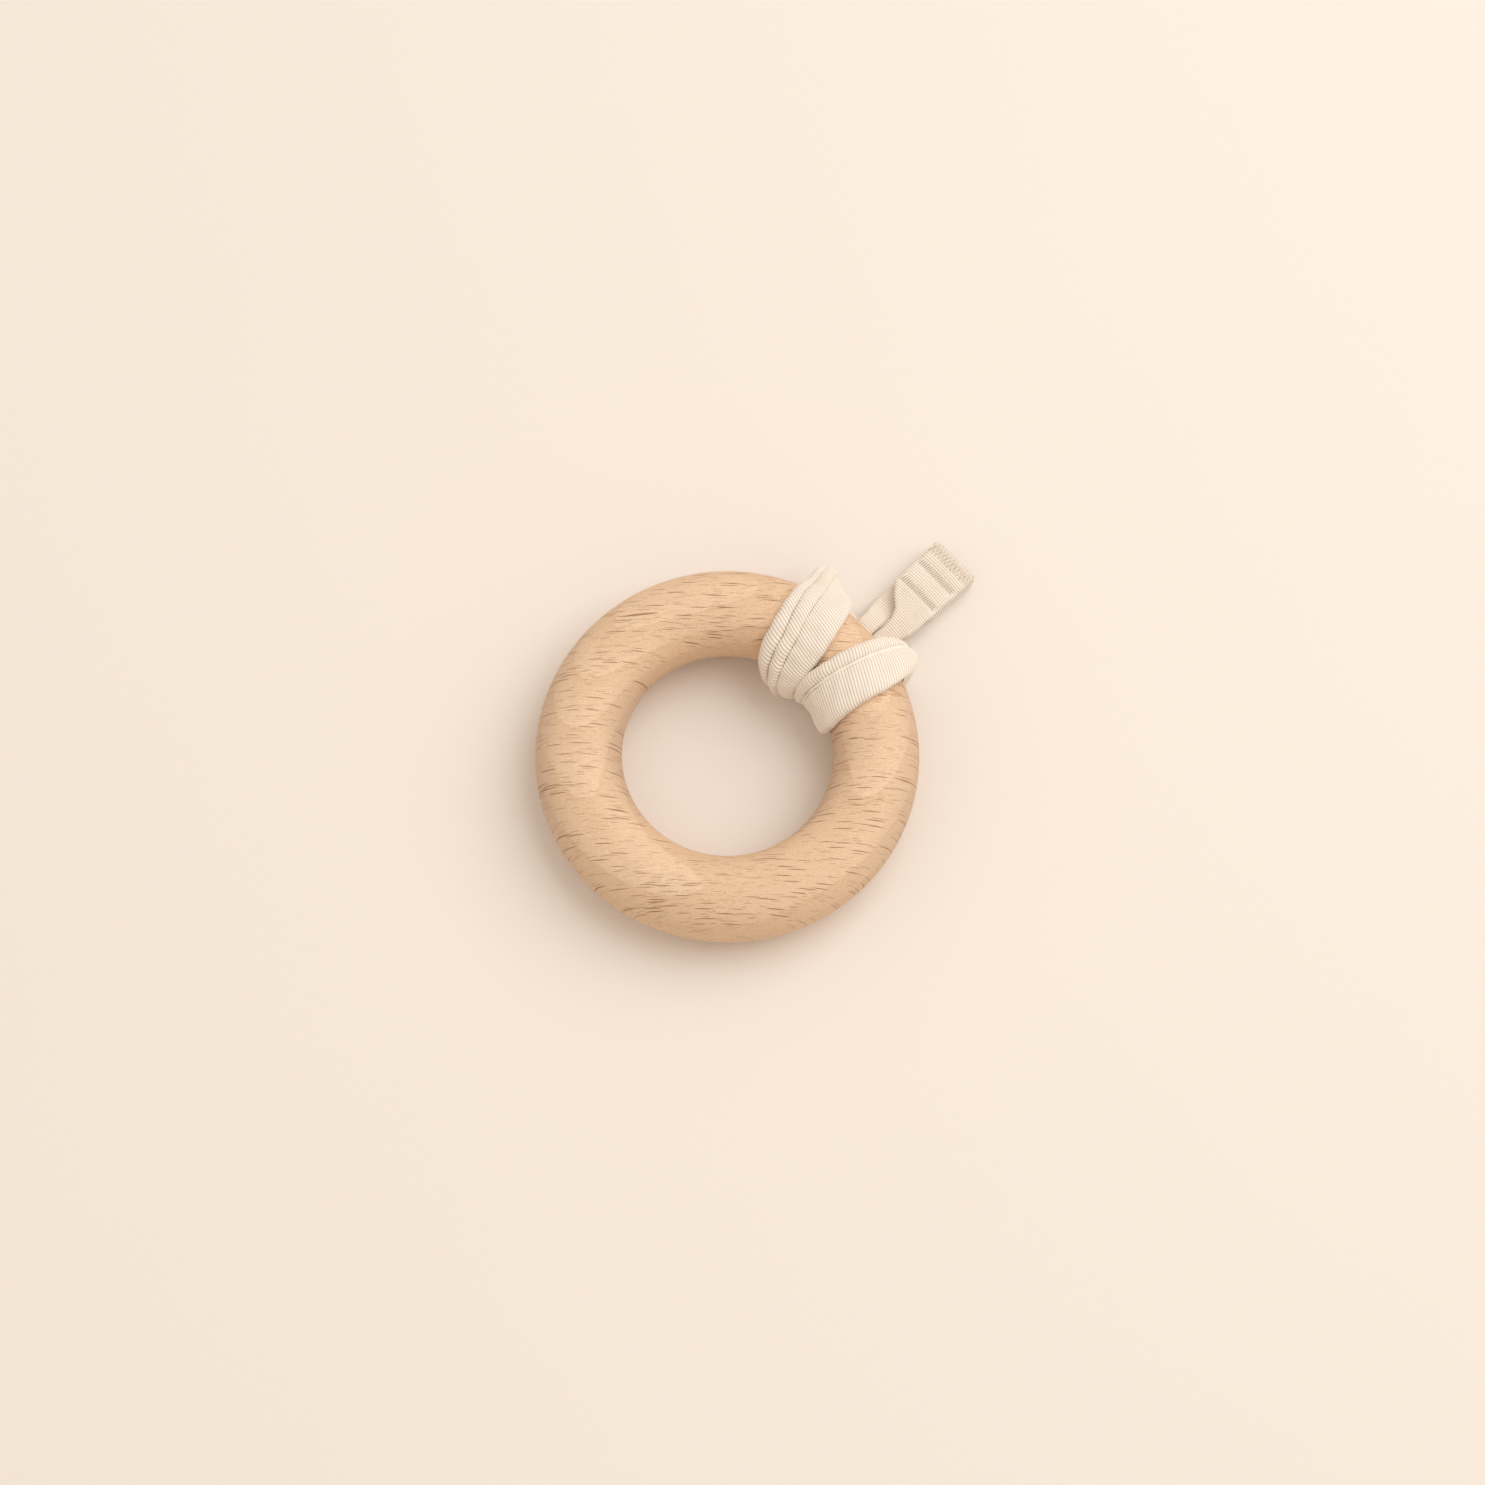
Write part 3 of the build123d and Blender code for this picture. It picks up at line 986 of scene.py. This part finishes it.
class TurnRing(bpy.types.Operator):
    """Turn the wooden ring"""

    bl_idname = "teether.turn_ring"
    bl_label = "Turn the wooden ring"

    def execute(self, context):
        ring = context.scene.teething_ring
        radius = (RING_OUTSIDE + ring.hole / 2) / 2
        half_width = (RING_OUTSIDE - ring.hole / 2) / 2
        around = np.linspace(0, 2 * np.pi, ring.steps_round, endpoint=False)[:, None]
        section = np.linspace(0, 2 * np.pi, ring.steps_section, endpoint=False)[None, :]
        # Hand sanding leaves the section very slightly uneven.
        uneven = 0.04 * MM * np.sin(3 * around + 1.0) * np.cos(2 * section)
        out = radius + (half_width - 0.04 * MM + uneven) * np.cos(section)
        points = np.stack(
            [
                out * np.cos(around),
                out * np.sin(around),
                (RING_HALF_HEIGHT + uneven * 0.5) * np.sin(section) + 0 * around,
            ],
            axis=-1,
        )
        mesh = grid_mesh("turned_ring", points, close_rows=True, close_columns=True)
        mesh.flip_normals()
        smooth(mesh, 180)
        mesh.materials.append(beech_material(ring))
        made = new_object("turned_ring", mesh)
        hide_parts("wooden_ring")
        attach(made, "ring")
        return {"FINISHED"}


class WindTurns(bpy.types.Operator):
    """Wind the strap's two turns over the ring"""

    bl_idname = "teether.wind_turns"
    bl_label = "Wind the two turns"

    def execute(self, context):
        for side, word in ((-1, "left"), (1, "right")):
            made = add_tape(f"tape_{word}_turn", side, "bar_end", "turn_end", context)
            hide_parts(f"strap_{word}_turn")
            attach(made, "hitch")
        return {"FINISHED"}


class FoldCrossingBar(bpy.types.Operator):
    """Gather the strap into the crossing bar below the ring's edge"""

    bl_idname = "teether.fold_crossing_bar"
    bl_label = "Fold the crossing bar"

    def execute(self, context):
        for side, word in ((-1, "left"), (1, "right")):
            made = add_tape(f"tape_{word}_bight", side, 0.0, "bar_end", context)
            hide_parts("strap_crossing_bar")
            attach(made, "hitch")
        return {"FINISHED"}


class LayStrands(bpy.types.Operator):
    """Lay the two strands under the ring and out to the sewn end"""

    bl_idname = "teether.lay_strands"
    bl_label = "Lay the strands"

    def execute(self, context):
        for side, word in ((-1, "left"), (1, "right")):
            made = add_tape(f"tape_{word}_strand", side, "turn_end", None, context)
            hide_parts(f"strap_{word}_run", f"strap_{word}_end")
            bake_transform(made)
        return {"FINISHED"}


class SewTacks(bpy.types.Operator):
    """Sew the two bar tacks through the sewn end"""

    bl_idname = "teether.sew_tacks"
    bl_label = "Sew the bar tacks"

    def execute(self, context):
        thread = context.scene.teether_thread
        half = 0.7
        path = [
            (
                (-0.07, -half + 0.05, -0.3),
                (-0.07, -half, 0.0),
                (-0.05, -half * 0.6, 0.13),
                (0.0, 0.0, 0.17),
                (0.05, half * 0.6, 0.13),
                (0.07, half, 0.0),
                (0.07, half - 0.05, -0.3),
            )
        ]
        across = END_HALF_WIDTH * 2 - 1.2 * MM
        made = sew_row(
            "tack_threads",
            path,
            thread,
            {
                "Pitch": thread.tack_pitch,
                "Stitches": int(across / thread.tack_pitch) + 1,
                "Rows": len(TACK_ROWS),
                "Row spacing": (TACK_ROWS[1] - TACK_ROWS[0]) * MM,
                "Place": (0.0, TACK_ROWS[0] * MM, END_TOP - 0.22 * MM),
                "Seed": 3,
            },
        )
        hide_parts("bar_tacks")
        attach(made, "loose_end")
        return {"FINISHED"}


class BindOverlock(bpy.types.Operator):
    """Bind the cut edge of the sewn end with overlock loops"""

    bl_idname = "teether.bind_overlock"
    bl_label = "Bind the cut edge"

    def execute(self, context):
        thread = context.scene.teether_thread
        quarter = thread.overlock_pitch / MM / 4
        low = (STRAP_FLOOR - END_TOP) / MM + 0.2
        path = [
            (
                (-2 * quarter, -2.15, -0.25),
                (-2 * quarter, -2.15, 0.05),
                (-quarter, -1.1, 0.13),
                (-0.05, -0.12, 0.14),
                (0.0, 0.1, 0.0),
                (0.0, 0.13, low / 2),
                (0.0, 0.1, low),
                (0.0, -0.3, low + 0.1),
            ),
            (
                (0.0, 0.08, -0.15),
                (0.06, -0.1, 0.16),
                (quarter, -1.1, 0.15),
                (2 * quarter, -2.1, 0.07),
                (2 * quarter, -2.1, -0.25),
            ),
        ]
        made = sew_row(
            "overlock_threads",
            path,
            thread,
            {
                "Pitch": thread.overlock_pitch,
                "Stitches": int(2 * END_HALF_WIDTH / thread.overlock_pitch),
                "Rows": 1,
                "Row spacing": 0.0,
                "Place": (0.0, END_STOP, END_TOP),
                "Seed": 8,
            },
        )
        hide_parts("end_overlock")
        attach(made, "loose_end")
        return {"FINISHED"}


class SetStage(bpy.types.Operator):
    """Set the floor, the lights and the camera"""

    bl_idname = "teether.set_stage"
    bl_label = "Set the stage"

    def execute(self, context):
        ring = context.scene.teething_ring
        stage = context.scene.teether_stage
        radius = (RING_OUTSIDE + ring.hole / 2) / 2
        # The ring lies on the table at one side and on the strap at the other.
        drop = (-RING_HALF_HEIGHT - STRAP_FLOOR) / (2 * radius)
        level = -RING_HALF_HEIGHT - 0.02 * MM
        reach = 1.5
        corners = [
            (x, y, level - (y + radius) * drop)
            for x, y in ((-reach, -reach), (reach, -reach), (reach, reach), (-reach, reach))
        ]
        mesh = bpy.data.meshes.new("table")
        mesh.from_pydata(corners, [], [(0, 1, 2, 3)])
        mesh.materials.append(floor_material())
        new_object("table", mesh)

        world = bpy.data.worlds.new("room")
        context.scene.world = world
        world.use_nodes = True
        background = world.node_tree.nodes["Background"]
        background.inputs["Color"].default_value = (1.0, 0.895, 0.765, 1.0)
        background.inputs["Strength"].default_value = 0.69

        aim = Vector((0.0, 0.0, 0.0))
        right = Vector((math.cos(stage.azimuth), math.sin(stage.azimuth), 0.0))
        ahead = Vector((-math.sin(stage.azimuth), math.cos(stage.azimuth), 0.0))
        # Each lamp's name, place, width in metres and power in watts.
        lamps = (
            ("key_light", right * 0.60 + ahead * 0.34 + Vector((0, 0, 0.88)), 1.1, 7.2),
            ("fill_light", right * -0.7 - ahead * 0.2 + Vector((0, 0, 0.7)), 0.9, 0.6),
        )
        for name, place, size, power in lamps:
            lamp = bpy.data.lights.new(name, "AREA")
            lamp.size = size
            lamp.energy = power
            lamp.color = (1.0, 1.0, 1.0)
            made = new_object(name, lamp)
            made.location = place
            made.rotation_euler = (aim - place).to_track_quat("-Z", "Y").to_euler()

        lens = bpy.data.cameras.new("camera")
        lens.sensor_width = 36.0
        lens.lens = lens.sensor_width * stage.distance / stage.frame_width
        lens.clip_start = 0.01
        camera = new_object("camera", lens)
        back = Vector(
            (
                math.sin(stage.azimuth) * math.cos(stage.elevation),
                -math.cos(stage.azimuth) * math.cos(stage.elevation),
                math.sin(stage.elevation),
            )
        )
        turn = (-back).to_track_quat("-Z", "Y")
        # The ring lies a little left of and below the middle of the picture.
        offset = turn @ Vector((stage.aim_right, stage.aim_above, 0.0))
        camera.location = back * stage.distance + offset
        camera.rotation_euler = turn.to_euler()
        context.scene.camera = camera
        context.scene.view_settings.view_transform = "Standard"
        return {"FINISHED"}


class TeetherPanel(bpy.types.Panel):
    """Lists the steps that build the teething ring"""

    bl_idname = "VIEW3D_PT_teether"
    bl_label = "Teething ring"
    bl_space_type = "VIEW_3D"
    bl_region_type = "UI"
    bl_category = "Teether"

    def draw(self, context):
        for step in STEPS_IN_ORDER:
            self.layout.operator(step.bl_idname)


STEPS_IN_ORDER = (
    TurnRing,
    WindTurns,
    FoldCrossingBar,
    LayStrands,
    SewTacks,
    BindOverlock,
    SetStage,
)
SETTINGS = {
    "teething_ring": RingSettings,
    "teether_strap": StrapSettings,
    "teether_thread": ThreadSettings,
    "teether_stage": StageSettings,
}


def register():
    for name, group in SETTINGS.items():
        bpy.utils.register_class(group)
        setattr(bpy.types.Scene, name, PointerProperty(type=group))
    for kind in (*STEPS_IN_ORDER, TeetherPanel):
        bpy.utils.register_class(kind)


def unregister():
    for kind in reversed((*STEPS_IN_ORDER, TeetherPanel)):
        bpy.utils.unregister_class(kind)
    for name, group in SETTINGS.items():
        delattr(bpy.types.Scene, name)
        bpy.utils.unregister_class(group)


def main():
    register()
    bpy.ops.teether.turn_ring()
    bpy.ops.teether.wind_turns()
    bpy.ops.teether.fold_crossing_bar()
    bpy.ops.teether.lay_strands()
    bpy.ops.teether.sew_tacks()
    bpy.ops.teether.bind_overlock()
    bpy.ops.teether.set_stage()


if __name__ == "__main__":
    main()
